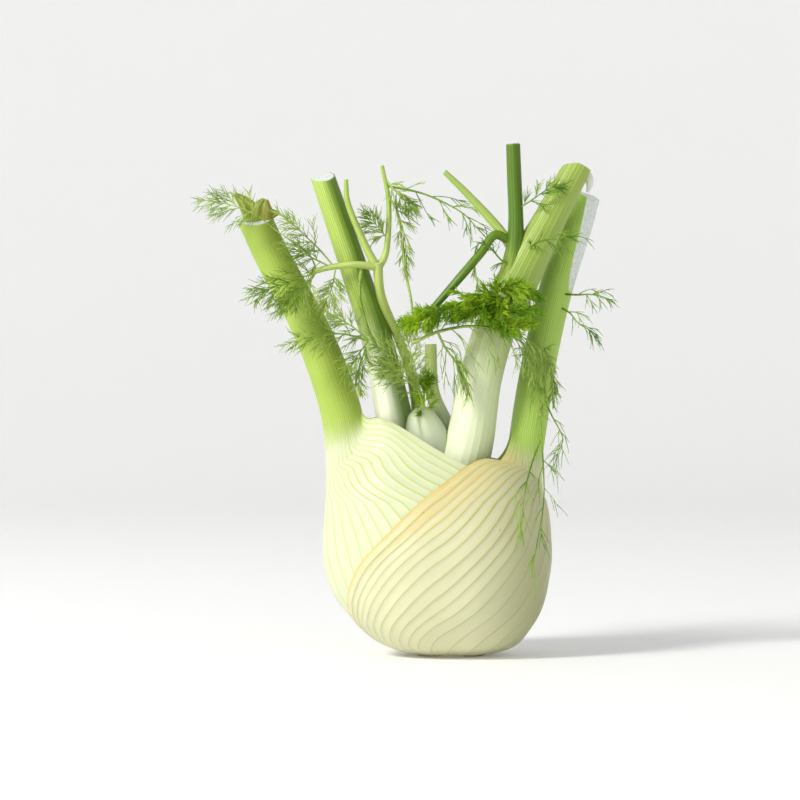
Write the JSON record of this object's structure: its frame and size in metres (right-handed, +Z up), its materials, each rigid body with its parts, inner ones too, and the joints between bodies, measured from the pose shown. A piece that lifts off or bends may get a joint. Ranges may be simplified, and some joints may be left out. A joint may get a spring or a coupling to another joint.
{
  "type": "fennel bulb",
  "caption": "Whole fennel bulb standing on its trimmed root end: overlapping ribbed sheaths, cut green stalks and feathery fronds.",
  "frame": {"origin": "centre of the flat cut root end that the bulb stands on", "axes": "+Z up along the bulb towards its stalks, -Y towards the front where the outer sheath's free edge crosses the bulb, +X towards the outer leaf's stalk"},
  "size_m": [0.1893, 0.0782, 0.2291],
  "materials": {
    "root": "dry cut root plate",
    "heart": "waxy pale hood",
    "inner_left_leaf": "satin, white below and green above",
    "thick_leaf": "satin, white below and yellow-green above",
    "left_leaf": "satin ribbed sheath and mid-green stalk",
    "outer_leaf": "satin ribbed sheath with a tan edge, and green stalk",
    "thin_stem": "smooth green stem",
    "frond": "fine matt green threads"
  },
  "bodies": {
    "root": {"root_end": "root", "heart_leaf": "heart", "inner_left_leaf": "inner_left_leaf", "thick_leaf": "thick_leaf", "left_leaf": "left_leaf", "outer_leaf": "outer_leaf", "thin_stem": "thin_stem", "frond_left_tip": "frond", "frond_upper_left": "frond", "frond_mid_left": "frond", "frond_lower_left": "frond", "frond_upper_middle": "frond", "frond_arch": "frond", "frond_centre_left": "frond", "frond_heart": "frond", "frond_dense": "frond", "frond_hanging_arc": "frond", "frond_over_branch": "frond", "frond_behind_stem": "frond", "frond_right": "frond", "frond_right_stalk": "frond", "frond_bulb_right": "frond"}
  },
  "joints": []
}
